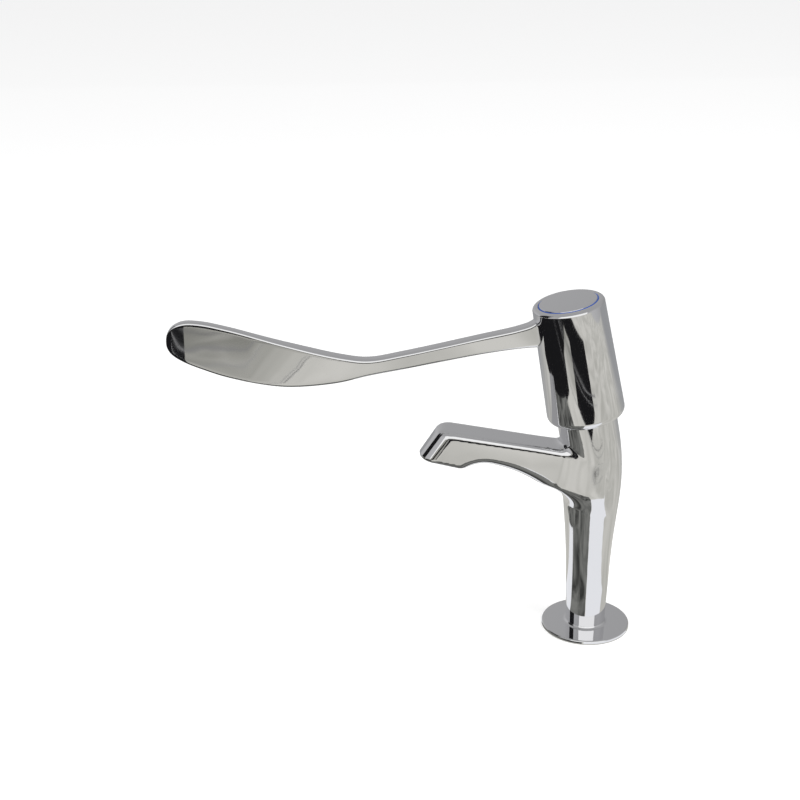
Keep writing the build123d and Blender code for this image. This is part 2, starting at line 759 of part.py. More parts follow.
# Handle screw and its washer in the pocket, then the ring and cap that close it
screw_seat = screw_pocket_floor + screw_washer_thickness
with BuildPart() as screw_washer:
    with BuildSketch(head_base.offset(screw_pocket_floor)):
        Circle(screw_washer_radius)
        Circle(screw_radius + screw_clearance, mode=Mode.SUBTRACT)
    extrude(amount=screw_washer_thickness)
finish(screw_washer.part, "screw_washer")

with BuildPart() as handle_screw:
    with BuildSketch(head_base.offset(screw_seat - screw_length)):
        Circle(screw_radius)
    extrude(amount=screw_length)
    with BuildSketch(head_base.offset(screw_seat)):
        Circle(screw_head_radius)
    extrude(amount=screw_head_height)
    with BuildSketch(head_base.offset(screw_seat + screw_head_height - screw_socket_depth)):
        RegularPolygon(screw_socket / 2, 6, major_radius=False)
    extrude(amount=screw_socket_depth, mode=Mode.SUBTRACT)
finish(handle_screw.part, "handle_screw")

cap_floor = head_length - cap_recess_depth
with BuildPart() as indice_ring:
    with BuildSketch(head_base.offset(cap_floor)):
        Circle(cap_recess_radius - cap_fit_clearance)
        Circle(ring_bore_radius, mode=Mode.SUBTRACT)
    extrude(amount=cap_recess_depth)
finish(indice_ring.part, "indice_ring")

with BuildPart() as top_cap:
    with BuildSketch(head_base.offset(cap_floor)):
        Circle(cap_plug_radius)
    extrude(amount=cap_recess_depth)
    with BuildSketch(head_base.offset(head_length)):
        Circle(cap_radius)
    extrude(amount=cap_proud)
    fillet(top_cap.edges().filter_by(GeomType.CIRCLE).sort_by(head_axis)[-1], cap_round)
    with BuildSketch(head_base.offset(cap_floor)):
        Circle(cap_well_radius)
    extrude(amount=cap_recess_depth + cap_proud - cap_thickness, mode=Mode.SUBTRACT)
finish(top_cap.part, "top_cap")
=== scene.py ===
# %% [markdown]
# # Elbow lever tap in chrome
# The frame comes first: it loads the solids from model.glb, in metres. Every piece
# made here sits where the solids say. Only the looks are added: smooth chrome skins, threads,
# finishes, light and a camera.

# %% Load the frame
from math import atan2, cos, degrees, pi, radians, sin, tan

import bmesh
import bpy
import numpy as np
from mathutils import Matrix, Vector


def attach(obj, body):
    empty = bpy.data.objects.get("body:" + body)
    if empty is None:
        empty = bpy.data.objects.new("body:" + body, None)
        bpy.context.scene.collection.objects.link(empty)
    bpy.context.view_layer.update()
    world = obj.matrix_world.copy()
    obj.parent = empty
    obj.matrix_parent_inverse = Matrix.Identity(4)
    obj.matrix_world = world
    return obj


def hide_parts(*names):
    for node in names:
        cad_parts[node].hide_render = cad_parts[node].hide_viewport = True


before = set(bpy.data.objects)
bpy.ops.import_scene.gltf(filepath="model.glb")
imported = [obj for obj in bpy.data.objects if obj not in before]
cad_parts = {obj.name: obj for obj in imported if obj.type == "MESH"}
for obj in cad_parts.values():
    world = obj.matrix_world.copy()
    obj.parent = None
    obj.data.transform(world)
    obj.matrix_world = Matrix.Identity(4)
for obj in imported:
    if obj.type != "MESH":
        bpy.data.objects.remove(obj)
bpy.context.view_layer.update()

# %% [markdown]
# Measurements below are in millimetres, because a tap is drawn in them. One factor turns them
# into metres. The head, its lever and the cartridge share an axis that leans forward by 11
# degrees. A point is often given by its reach (forward, towards -Y) and its height. The upright
# column and the leaning neck would meet in a corner, which a bend rounds off.

# %% Shared measurements
MM = 0.001
HEAD_LEAN = radians(11.0)
HEAD_REACH, HEAD_HEIGHT, HEAD_LENGTH = 4.7, 130.5, 67.2
CHAMBER_RADIUS, CHAMBER_TOP = 16.4, 5.0
FLANGE_TOP, FLANGE_RADIUS = 2.6, 25.0
BEND_REACH = 14.0
CORNER_HEIGHT = HEAD_HEIGHT - HEAD_REACH / tan(HEAD_LEAN)
BEND_START = CORNER_HEIGHT - BEND_REACH
BEND_RADIUS = BEND_REACH / tan(HEAD_LEAN / 2)
print("bend starts at height", round(BEND_START, 2), "with radius", round(BEND_RADIUS, 1))

# %% [markdown]
# ## Chrome
# Bright chrome is a nearly perfect mirror: what is seen on it is the studio. A metallic
# Principled shader with a very low roughness does that. A real tap isn't flawless, so broad soft
# noise moves the roughness a little, as polishing and wiping leave it, and a very shallow bump
# gives the faint waviness of a buffed casting.

# %% Finish helpers
def start_material(name, color, metallic, roughness):
    """A Principled material with its plain values, and its shader node."""
    material = bpy.data.materials.new(name)
    material.use_nodes = True
    shader = material.node_tree.nodes["Principled BSDF"]
    shader.inputs["Base Color"].default_value = (*color, 1.0)
    shader.inputs["Metallic"].default_value = metallic
    shader.inputs["Roughness"].default_value = roughness
    material.diffuse_color = (*color, 1.0)
    return material, shader


def noise_on_object(material, scale, detail=3.0, stretch=(1.0, 1.0, 1.0), swirl=0.0):
    """Noise on Object coordinates, finer along an axis with a larger stretch."""
    tree = material.node_tree
    place = tree.nodes.new("ShaderNodeTexCoord")
    shape = tree.nodes.new("ShaderNodeMapping")
    shape.inputs["Scale"].default_value = stretch
    noise = tree.nodes.new("ShaderNodeTexNoise")
    noise.inputs["Scale"].default_value = scale
    noise.inputs["Detail"].default_value = detail
    noise.inputs["Distortion"].default_value = swirl
    tree.links.new(place.outputs["Object"], shape.inputs["Vector"])
    tree.links.new(shape.outputs["Vector"], noise.inputs["Vector"])
    return noise.outputs["Fac"]


def spread(material, value, low, high, socket):
    """Take a socket from low to high while a value goes from 0 to 1."""
    tree = material.node_tree
    ramp = tree.nodes.new("ShaderNodeMapRange")
    ramp.inputs["To Min"].default_value = low
    ramp.inputs["To Max"].default_value = high
    tree.links.new(value, ramp.inputs["Value"])
    tree.links.new(ramp.outputs["Result"], socket)


def bump(material, value, shader, strength, distance):
    """Raise the surface with a value, by a distance in metres."""
    tree = material.node_tree
    node = tree.nodes.new("ShaderNodeBump")
    node.inputs["Strength"].default_value = strength
    node.inputs["Distance"].default_value = distance
    tree.links.new(value, node.inputs["Height"])
    tree.links.new(node.outputs["Normal"], shader.inputs["Normal"])


def blend(material, factor, first, second):
    """A colour between two, each given as a colour or as another node's output."""
    tree = material.node_tree
    mix = tree.nodes.new("ShaderNodeMix")
    mix.data_type = "RGBA"
    for socket, color in ((mix.inputs["A"], first), (mix.inputs["B"], second)):
        if isinstance(color, tuple):
            socket.default_value = (*color, 1.0)
        else:
            tree.links.new(color, socket)
    tree.links.new(factor, mix.inputs["Factor"])
    return mix.outputs["Result"]


def tint(material, value, first, second, shader):
    """Let the base colour wander between two colours."""
    color = blend(material, value, first, second)
    material.node_tree.links.new(color, shader.inputs["Base Color"])


# %% Bright chrome for everything above the deck
chrome, shader = start_material("bright_chrome", (0.86, 0.86, 0.87), 1.0, 0.045)
spread(chrome, noise_on_object(chrome, 35.0), 0.02, 0.075, shader.inputs["Roughness"])
bump(chrome, noise_on_object(chrome, 38.0, 1.5), shader, 1.0, 0.00010)
print("finish:", chrome.name)

# %% [markdown]
# ## The hidden materials
# Turned brass shows fine rings, moulded nylon is dull and slightly uneven, rubber is black with
# a dusty sheen, ground ceramic is pale with specks, and the blue ring is glossy plastic.

# %% Finishes for the rest
brass, shader = start_material("turned_brass", (0.72, 0.52, 0.22), 1.0, 0.28)
spread(brass, noise_on_object(brass, 90.0, 4.0, (1, 1, 14)), 0.18, 0.38, shader.inputs["Roughness"])
tint(brass, noise_on_object(brass, 24.0), (0.74, 0.55, 0.25), (0.60, 0.42, 0.17), shader)

steel, shader = start_material("stainless_steel", (0.56, 0.56, 0.57), 1.0, 0.3)
spread(steel, noise_on_object(steel, 160.0, 4.0, (1, 8, 1)), 0.2, 0.4, shader.inputs["Roughness"])

nylon, shader = start_material("white_nylon", (0.80, 0.80, 0.77), 0.0, 0.5)
tint(nylon, noise_on_object(nylon, 60.0), (0.83, 0.83, 0.80), (0.74, 0.74, 0.70), shader)
bump(nylon, noise_on_object(nylon, 900.0, 2.0), shader, 0.12, 0.00008)

rubber, shader = start_material("black_rubber", (0.02, 0.02, 0.021), 0.0, 0.62)
spread(rubber, noise_on_object(rubber, 220.0), 0.5, 0.75, shader.inputs["Roughness"])
bump(rubber, noise_on_object(rubber, 1500.0, 2.0), shader, 0.15, 0.00006)

ceramic, shader = start_material("ground_ceramic", (0.84, 0.82, 0.76), 0.0, 0.22)
tint(ceramic, noise_on_object(ceramic, 700.0, 2.0), (0.86, 0.84, 0.79), (0.76, 0.73, 0.66), shader)

blue, shader = start_material("blue_plastic", (0.02, 0.09, 0.42), 0.0, 0.25)
spread(blue, noise_on_object(blue, 200.0), 0.2, 0.34, shader.inputs["Roughness"])

FINISH_OF = {
    "tap_body": chrome, "base_flange": chrome, "lever_handle": chrome, "top_cap": chrome,
    "outlet_bush": chrome, "cartridge_housing": brass, "threaded_tail": brass,
    "spindle": brass, "backnut": brass, "spline_insert": nylon, "deck_washer": nylon,
    "glide_ring": nylon, "thrust_washer": nylon, "flow_straightener": nylon,
    "base_gasket": rubber, "tail_seal": rubber, "housing_seal": rubber, "seat_seal": rubber,
    "spindle_seals": rubber, "outlet_washer": rubber, "fixed_disc": ceramic,
    "moving_disc": ceramic, "spindle_clip": steel, "handle_screw": steel,
    "screw_washer": steel, "indice_ring": blue,
}
for node, finish in FINISH_OF.items():
    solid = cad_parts[node]
    solid.data.materials.clear()
    solid.data.materials.append(finish)
print("finishes given to", len(FINISH_OF), "solids")

# %% [markdown]
# ## Smooth skins from distances
# The casting has no hard inner corners: the spout grows out of the column through a soft hollow.
# A mirror shows every flat facet, so the body is made from a rule instead: a function gives the
# distance of any point to the surface, two shapes join with a round hollow, and two faces meet
# in a round edge. A grid finds the surface, and each vertex is then moved exactly onto it, which
# makes the reflections run smoothly.

# %% Distance helpers
SLIVER = 1e-9  # overlap of neighbouring arcs, so that no point falls between two


def round_edge(first, second, radius):
    """Both shapes at once, with a rounded outer edge where they meet."""
    reach = np.hypot(np.maximum(first + radius, 0), np.maximum(second + radius, 0))
    return np.minimum(np.maximum(first, second), -radius) + reach


def round_hollow(first, second, radius):
    """Either shape, with a rounded inner corner where they meet."""
    reach = np.hypot(np.maximum(radius - first, 0), np.maximum(radius - second, 0))
    return np.maximum(np.minimum(first, second), radius) - reach


def beyond_line(reach, height, start, direction):
    """Distance past a line, positive to its left as it runs along its direction."""
    length = np.hypot(*direction)
    return (direction[0] * (height - start[1]) - direction[1] * (reach - start[0])) / length


def below_arcs(reach, height, start, heading, arcs):
    """Signed distance under a smooth chain of arcs, and where the chain ends.

    Each arc is (radius, new heading), and the chain runs on straight at both ends.
    """
    best = np.full(np.shape(reach), 1e9)
    here, angle = np.array(start, float), heading

    def keep(best, gap, within):
        return np.where(within & (np.abs(gap) < np.abs(best)), gap, best)

    def run_on(best, here, angle, ahead):
        dx, dy = cos(angle), sin(angle)
        along = (reach - here[0]) * dx + (height - here[1]) * dy
        gap = (reach - here[0]) * dy - (height - here[1]) * dx
        return keep(best, gap, along * ahead >= -SLIVER)

    best = run_on(best, here, angle, -1)
    for radius, target in arcs:
        centre = here + radius * np.array([sin(angle), -cos(angle)])
        away = np.arctan2(height - centre[1], reach - centre[0]) - pi / 2
        gap = radius - np.hypot(reach - centre[0], height - centre[1])
        best = keep(best, gap, (away <= angle + SLIVER) & (away >= target - SLIVER))
        angle = target
        here = centre + radius * np.array([-sin(angle), cos(angle)])
    return run_on(best, here, angle, 1), here


def smooth_path(points, count):
    """A smooth curve through points, as many short runs."""
    points = np.array(points, float)
    ends = np.vstack([2 * points[0] - points[1], points, 2 * points[-1] - points[-2]])
    knots = np.concatenate([[0], np.cumsum(np.sqrt(np.hypot(*np.diff(ends, axis=0).T)))])
    result = []
    for place in np.linspace(knots[1], knots[-2], count):
        i = min(max(np.searchsorted(knots, place, side="right") - 1, 1), len(ends) - 3)
        levels = [ends[i - 1], ends[i], ends[i + 1], ends[i + 2]]
        t = knots[i - 1:i + 3]
        first = [
            ((t[j + 1] - place) * levels[j] + (place - t[j]) * levels[j + 1]) / (t[j + 1] - t[j])
            for j in range(3)
        ]
        second = [
            ((t[j + 2] - place) * first[j] + (place - t[j]) * first[j + 1]) / (t[j + 2] - t[j])
            for j in range(2)
        ]
        result.append(((t[2] - place) * second[0] + (place - t[1]) * second[1]) / (t[2] - t[1]))
    return np.array(result)


# %% Grid search and the final step onto the surface
CORNERS = np.array([(i, j, k) for i in (0, 1) for j in (0, 1) for k in (0, 1)])
EDGES = [
    (a, b) for a in range(8) for b in range(a + 1, 8)
    if abs(CORNERS[a] - CORNERS[b]).sum() == 1
]


def find_surface(distance, low, high, step):
    """Vertices and four-sided faces of the surface where the distance is nothing."""
    low, high = np.array(low, float), np.array(high, float)
    size = np.ceil((high - low) / step).astype(int) + 1
    axes = [low[i] + step * np.arange(size[i]) for i in range(3)]
    field = np.stack([
        distance(np.full((size[1], size[2]), x), *np.meshgrid(axes[1], axes[2], indexing="ij"))
        for x in axes[0]
    ])
    inside = field < 0
    cells = tuple(size - 1)
    # one vertex in each cell that the surface crosses, at the mean of its crossings
    total = np.zeros((*cells, 3))
    hits = np.zeros(cells)
    for a, b in EDGES:
        (ai, aj, ak), (bi, bj, bk) = CORNERS[a], CORNERS[b]
        first = field[ai:ai + cells[0], aj:aj + cells[1], ak:ak + cells[2]]
        second = field[bi:bi + cells[0], bj:bj + cells[1], bk:bk + cells[2]]
        crossed = (first < 0) != (second < 0)
        share = np.where(crossed, first / np.where(crossed, first - second, 1), 0)
        for axis in range(3):
            run = CORNERS[b][axis] - CORNERS[a][axis]
            total[..., axis] += np.where(crossed, CORNERS[a][axis] + share * run, 0)
        hits += crossed
    used = np.argwhere(hits > 0)
    number = -np.ones(cells, int)
    number[tuple(used.T)] = np.arange(len(used))
    points = low + step * (used + total[tuple(used.T)] / hits[tuple(used.T)][:, None])
    # one face round each grid edge that goes in or out
    faces = []
    for axis in range(3):
        one, two = (axis + 1) % 3, (axis + 2) % 3
        near = inside.take(np.arange(size[axis] - 1), axis)
        far = inside.take(np.arange(1, size[axis]), axis)
        for flip, crossing in ((False, near & ~far), (True, ~near & far)):
            at = np.argwhere(crossing)
            at = at[(at[:, one] > 0) & (at[:, two] > 0)]
            at = at[(at[:, one] < size[one] - 1) & (at[:, two] < size[two] - 1)]
            ring = []
            for d1, d2 in ((0, 0), (1, 0), (1, 1), (0, 1)):
                cell = at.copy()
                cell[:, one] -= 1 - d1
                cell[:, two] -= 1 - d2
                ring.append(number[tuple(cell.T)])
            ring = np.stack(ring, 1)
            faces.append(ring[:, ::-1] if flip else ring)
    return points, np.vstack(faces)


def settle(distance, points, rounds=4, width=0.02, least=0.25):
    """Move points straight onto the surface; the least slope keeps a step from running off."""
    for _ in range(rounds):
        x, y, z = points.T
        here = distance(x, y, z)
        slope = np.stack([
            distance(x + width, y, z) - distance(x - width, y, z),
            distance(x, y + width, z) - distance(x, y - width, z),
            distance(x, y, z + width) - distance(x, y, z - width),
        ], 1) / (2 * width)
        size = np.maximum((slope ** 2).sum(1), least)
        points = points - slope * (here / size)[:, None]
    return points


def link_object(name, data):
    """A new object in the scene with the given data."""
    piece = bpy.data.objects.new(name, data)
    bpy.context.scene.collection.objects.link(piece)
    return piece


def mesh_piece(name, points, faces, finish):
    """A smooth mesh piece from millimetre points."""
    data = bpy.data.meshes.new(name)
    data.from_pydata((np.array(points) * MM).tolist(), [], [list(map(int, f)) for f in faces])
    data.update()
    data.polygons.foreach_set("use_smooth", [True] * len(data.polygons))
    data.materials.append(finish)
    print(name, "vertices:", len(data.vertices), "faces:", len(data.polygons))
    return link_object(name, data)


# %% Along and across the leaning axis
def on_axis(reach, height):
    """Height along the leaning axis above the skirt's foot, and distance ahead of it."""
    ahead, above = reach - HEAD_REACH, height - HEAD_HEIGHT
    along = ahead * sin(HEAD_LEAN) + above * cos(HEAD_LEAN)
    across = ahead * cos(HEAD_LEAN) - above * sin(HEAD_LEAN)
    return along, across


def tilted(reach, height, angle):
    """The place of a turned piece, its axis tilted forward."""
    return Matrix.Translation((0, -reach, height)) @ Matrix.Rotation(angle, 4, "X")


LEAN = tilted(HEAD_REACH, HEAD_HEIGHT, HEAD_LEAN)

# %% [markdown]
# ## Column, neck and spout
# On the real tap these are one casting. The column's radius follows a table read up its height,
# its centre line bends forward by 11 degrees, and the spout is a bar with a flat top, an arched
# underside and a nozzle that leans back. The spout's side view is drawn as a path of arcs. Its
# sides slope a little and flare towards the column, as a casting's do.

# %% Side view of the spout
SPOUT_TOP = (85.6, 126.9)
SPOUT_RISE, NOZZLE_LEAN, NOZZLE_LENGTH = radians(11.0), radians(34.0), 20.2
NOZZLE_FOOT = (
    SPOUT_TOP[0] + NOZZLE_LENGTH * sin(NOZZLE_LEAN), SPOUT_TOP[1] - NOZZLE_LENGTH * cos(NOZZLE_LEAN)
)
UNDER_START, UNDER_HEADING = (14.1, 62.0), radians(90)
UNDER_ARCS = [(36.0, radians(42)), (78.0, radians(15)), (17.0, radians(-35))]
NOZZLE_REAR = tuple(below_arcs(0.0, 0.0, UNDER_START, UNDER_HEADING, UNDER_ARCS)[1])
OUTLET_RUN = (NOZZLE_FOOT[0] - NOZZLE_REAR[0], NOZZLE_FOOT[1] - NOZZLE_REAR[1])
OUTLET_SLOPE = atan2(OUTLET_RUN[1], OUTLET_RUN[0])
OUTLET_MIDDLE = ((NOZZLE_FOOT[0] + NOZZLE_REAR[0]) / 2, (NOZZLE_FOOT[1] + NOZZLE_REAR[1]) / 2)
print("nozzle rear", np.round(NOZZLE_REAR, 2), "outlet slope", round(degrees(OUTLET_SLOPE), 2))

# %% Distance to the body
COLUMN_HEIGHTS = (0.0, 2.6, 14.8, 24.6, 43.9, 59.8, 71.1, 81.7, 92.3, 140.0)
COLUMN_RADII = (11.15, 11.2, 11.45, 11.85, 12.6, 13.65, 14.7, 15.7, 16.25, CHAMBER_RADIUS)
column_curve = smooth_path(list(zip(COLUMN_HEIGHTS, COLUMN_RADII)), 600)
BODY_FOOT = 1.6
SPOUT_HALF_WIDTH, SIDE_SLOPE = 9.9, 0.035
FLARE, FLARE_END = 2.9, 36.0
FRONT_ROUND, TOP_ROUND, OUTLET_ROUND = 7.5, 3.0, 1.5
UNDER_REACHES, UNDER_ROUNDS = (22.0, 66.0), (6.8, 3.6)
HOLLOW_DEPTHS, HOLLOW_ROUNDS = (2.0, 22.0), (4.0, 9.0)
GRID_LOW, GRID_HIGH, GRID_STEP = (-17.5, -100.5, 0.5), (17.5, 17.5, 138.0), 0.9


def column_distance(x, reach, height):
    along, across = on_axis(reach, height)
    turn = np.arctan2(height - BEND_START, BEND_RADIUS - reach)
    in_bend = (height > BEND_START) & (turn < HEAD_LEAN)
    past = (height > BEND_START) & (turn >= HEAD_LEAN)
    bent = BEND_RADIUS - np.hypot(BEND_RADIUS - reach, height - BEND_START)
    offset = np.where(past, across, np.where(in_bend, bent, reach))
    level = np.where(in_bend, BEND_START + BEND_RADIUS * turn, height)
    level = np.where(past, COLUMN_HEIGHTS[-1], level)
    radius = np.interp(level, column_curve[:, 0], column_curve[:, 1])
    return np.maximum(np.hypot(x, offset) - radius, along - CHAMBER_TOP)


def body_distance(x, y, height):
    reach = -y
    column = column_distance(x, reach, height)
    top = beyond_line(reach, height, SPOUT_TOP, (cos(SPOUT_RISE), sin(SPOUT_RISE)))
    front = -beyond_line(reach, height, SPOUT_TOP, (-sin(NOZZLE_LEAN), cos(NOZZLE_LEAN)))
    outlet = -beyond_line(reach, height, NOZZLE_REAR, OUTLET_RUN)
    under = below_arcs(reach, height, UNDER_START, UNDER_HEADING, UNDER_ARCS)[0]
    flare = FLARE * (np.clip(FLARE_END - reach, 0, FLARE_END) / FLARE_END) ** 2
    draft = SIDE_SLOPE * np.maximum(-top, 0)
    bar = round_edge(np.abs(x) - SPOUT_HALF_WIDTH - flare + draft, front, FRONT_ROUND)
    bar = round_edge(bar, top, TOP_ROUND)
    bar = round_edge(bar, under, np.interp(reach, UNDER_REACHES, UNDER_ROUNDS))
    bar = round_edge(bar, outlet, OUTLET_ROUND)
    bar = np.maximum(bar, np.maximum(-reach, UNDER_START[1] - height))
    hollow = np.interp(-top, HOLLOW_DEPTHS, HOLLOW_ROUNDS)
    return np.maximum(round_hollow(column, bar, hollow), BODY_FOOT - height)


points, faces = find_surface(body_distance, GRID_LOW, GRID_HIGH, GRID_STEP)
points = settle(body_distance, points)
body_skin = mesh_piece("body_skin", points, faces, chrome)

# %% [markdown]
# ## Turned pieces
# Head, flange, cap, ring and nozzle bush are round about an axis, so each follows one rule: a
# profile carried round it. A Geometry Nodes tree does the same. It takes the profile, drawn as
# (radius, height) points, and carries it round a circle with Curve to Mesh. Corners of the
# profile that are broken on the real piece are drawn as small arcs, so highlights run on them.

# %% Profile helpers
def corner(before, at, after, radius, steps=10):
    """Points of a round corner between two straight runs of a profile."""
    at, before, after = (Vector(point) for point in (at, before, after))
    back, on = (before - at).normalized(), (after - at).normalized()
    half = back.angle(on) / 2
    centre = at + (back + on).normalized() * (radius / sin(half))
    start = at + back * (radius / tan(half)) - centre
    end = at + on * (radius / tan(half)) - centre
    sweep = start.angle_signed(end)
    return [
        tuple(centre + Matrix.Rotation(-sweep * i / steps, 2) @ start) for i in range(steps + 1)
    ]


def profile_with(points):
    """A closed profile: (radius, height) or (radius, height, corner radius) each."""
    path = []
    for i, point in enumerate(points):
        if len(point) == 2:
            path.append(point)
            continue
        before, after = points[i - 1], points[(i + 1) % len(points)]
        path += corner(before[:2], point[:2], after[:2], point[2])
    return path


# %% Helpers for node trees
def new_tree(name, sizes):
    """An empty tree with a mesh, a finish and named sizes as inputs, and its end nodes."""
    tree = bpy.data.node_groups.new(name, "GeometryNodeTree")
    tree.interface.new_socket("Geometry", in_out="INPUT", socket_type="NodeSocketGeometry")
    tree.interface.new_socket("Finish", in_out="INPUT", socket_type="NodeSocketMaterial")
    for label, value in sizes.items():
        socket = tree.interface.new_socket(label, in_out="INPUT", socket_type="NodeSocketFloat")
        socket.default_value = value
    tree.interface.new_socket("Geometry", in_out="OUTPUT", socket_type="NodeSocketGeometry")
    return tree, tree.nodes.new("NodeGroupInput"), tree.nodes.new("NodeGroupOutput")


def chain(tree, *steps):
    """Link node outputs to inputs, each step as (node, output, node, input)."""
    for giver, output, taker, entry in steps:
        tree.links.new(giver.outputs[output], taker.inputs[entry])


def close_tree(tree, given, last, output, result):
    """Every tree ends with Realize Instances and Set Material."""
    real = tree.nodes.new("GeometryNodeRealizeInstances")
    coat = tree.nodes.new("GeometryNodeSetMaterial")
    chain(
        tree,
        (last, output, real, "Geometry"), (real, "Geometry", coat, "Geometry"),
        (given, "Finish", coat, "Material"), (coat, "Geometry", result, "Geometry"),
    )


def grow(name, tree, finish, inputs, points, edges):
    """Run a tree on a small mesh with the given inputs, and keep the result as a plain mesh."""
    seed = bpy.data.meshes.new(name + "_seed")
    seed.from_pydata([tuple(point) for point in points], list(edges), [])
    worker = link_object(name + "_seed", seed)
    modifier = worker.modifiers.new("grow", "NODES")
    modifier.node_group = tree
    inputs = {"Finish": finish, **inputs}
    for item in tree.interface.items_tree:
        if item.in_out == "INPUT" and item.name in inputs:
            modifier[item.identifier] = inputs[item.name]
    seen = worker.evaluated_get(bpy.context.evaluated_depsgraph_get())
    data = bpy.data.meshes.new_from_object(seen)
    bpy.data.objects.remove(worker)
    data.name = name
    return data


# %% The lathe as a node tree
LATHE_CIRCLE = 0.01  # the profile stands off this circle by its radius less the circle's
WELD_GAP = 1e-6
lathe, given, result = new_tree("lathe", {"Circle Radius": LATHE_CIRCLE, "Steps": 128.0})
as_curve = lathe.nodes.new("GeometryNodeMeshToCurve")
circle = lathe.nodes.new("GeometryNodeCurvePrimitiveCircle")
sweep = lathe.nodes.new("GeometryNodeCurveToMesh")
weld = lathe.nodes.new("GeometryNodeMergeByDistance")
weld.inputs["Distance"].default_value = WELD_GAP
chain(
    lathe,
    (given, "Geometry", as_curve, "Mesh"), (as_curve, "Curve", sweep, "Profile Curve"),
    (given, "Circle Radius", circle, "Radius"), (given, "Steps", circle, "Resolution"),
    (circle, "Curve", sweep, "Curve"), (sweep, "Mesh", weld, "Geometry"),
)
close_tree(lathe, given, weld, "Geometry", result)


def closed_path(path):
    """The seed mesh of a closed profile: its points and edges."""
    seeds = [(radius * MM - LATHE_CIRCLE, -height * MM, 0) for radius, height in path]
    return seeds, [(i, (i + 1) % len(seeds)) for i in range(len(seeds))]


def sharpen(data, degrees_over=28):
    """Shade smooth, but keep edges that turn by more than an angle crisp."""
    data.polygons.foreach_set("use_smooth", [True] * len(data.polygons))
    data.set_sharp_from_angle(angle=radians(degrees_over))


def face_outward(data):
    work = bmesh.new()
    work.from_mesh(data)
    bmesh.ops.recalc_face_normals(work, faces=work.faces)
    work.to_mesh(data)
    work.free()


def set_down(name, data, place):
    """Make a grown mesh a piece: faces outward, moved into place, edges crisp."""
    face_outward(data)
    data.transform(place)
    sharpen(data)
    piece = link_object(name, data)
    box = [round(side / MM, 2) for side in piece.dimensions]
    print(name, "faces:", len(data.polygons), "size mm:", box)
    return piece


def turned(name, points, finish, place=Matrix(), steps=160):
    """A turned piece: its closed profile carried round the axis, then put in place."""
    inputs = {"Circle Radius": LATHE_CIRCLE, "Steps": float(steps)}
    data = grow(name, lathe, finish, inputs, *closed_path(profile_with(points)))
    return set_down(name, data, (
        Matrix.Translation(place.translation * MM) @ place.to_3x3().to_4x4()))


# %% Turned chrome pieces
ON_AXIS = 0.001  # radius of points on the axis: the weld closes such a small hole
SMALL_STEPS = 96
CAP_SEAT, RING_TOP, CAP_TOP = 62.2, 67.2, 67.78
FOOT_RADIUS, FOOT_HOLLOW = 12.8, 1.6
FOOT_TOP = FLANGE_TOP + FOOT_HOLLOW
head_skin = turned("head_skin", [
    (17.0, 0.0, 0.4), (21.5, 0.0, 4.0), (19.5, HEAD_LENGTH, 2.0), (16.4, HEAD_LENGTH, 0.25),
    (16.4, CAP_SEAT), (5.4, CAP_SEAT), (5.4, 42.0), (2.8, 42.0), (2.8, 37.0), (7.05, 37.0),
    (7.05, 24.6), (9.5, 24.6, 0.3), (9.5, 55.7, 1.0), (17.0, 55.7, 1.0),
], chrome, LEAN)
cap_skin = turned("cap_skin", [
    (ON_AXIS, 66.2), (12.6, 66.2), (12.6, CAP_SEAT), (14.6, CAP_SEAT, 0.3), (14.6, RING_TOP),
    (15.7, RING_TOP), (15.7, CAP_TOP, 0.45), (ON_AXIS, CAP_TOP),
], chrome, LEAN)
ring_skin = turned("ring_skin", [
    (14.65, CAP_SEAT), (16.35, CAP_SEAT), (16.35, RING_TOP, 0.2), (14.65, RING_TOP, 0.2),
], blue, LEAN)
flange_skin = turned("flange_skin", [
    (8.9, 1.4), (23.0, 1.4), (23.0, 0.2), (FLANGE_RADIUS, 0.2, 0.25),
    (FLANGE_RADIUS, FLANGE_TOP, 0.9), (8.9, FLANGE_TOP),
], chrome)
foot_skin = turned("foot_skin", [
    (10.0, FLANGE_TOP), (12.75, FLANGE_TOP + 0.001), *[
        (FOOT_RADIUS - FOOT_HOLLOW * sin(a), FOOT_TOP - FOOT_HOLLOW * cos(a))
        for a in np.linspace(0.05, pi / 2, 9)
    ], (10.0, FOOT_TOP),
], chrome)
OUTLET = tilted(*OUTLET_MIDDLE, -OUTLET_SLOPE)
bush_skin = turned("bush_skin", [
    (6.1, 0.0, 0.3), (7.7, 0.0, 0.35), (7.7, 7.4), (6.8, 7.4), (6.8, 0.9), (6.1, 0.9),
], chrome, OUTLET, SMALL_STEPS)

# %% [markdown]
# ## Bores in the body
# The casting is hollow: a chamber for the cartridge, a bore up the column, a waterway along the
# spout and a stepped recess in the nozzle. Each is a turned cutter taken away with a Boolean,
# which leaves the crisp edges that a drill leaves.

# %% Cut the bores
def drill(low, *steps):
    """A drill's profile up from a height, each step as (radius, top height)."""
    path, height = [(ON_AXIS, low)], low
    for radius, top in steps:
        path += [(radius, height), (radius, top)]
        height = top
    return path + [(ON_AXIS, height)]


def take_away(piece, cutter):
    step = piece.modifiers.new("cut", "BOOLEAN")
    step.operation, step.solver, step.object = "DIFFERENCE", "EXACT", cutter
    seen = piece.evaluated_get(bpy.context.evaluated_depsgraph_get())
    old, piece.data = piece.data, bpy.data.meshes.new_from_object(seen)
    piece.modifiers.clear()
    bpy.data.meshes.remove(old)
    bpy.data.objects.remove(cutter)


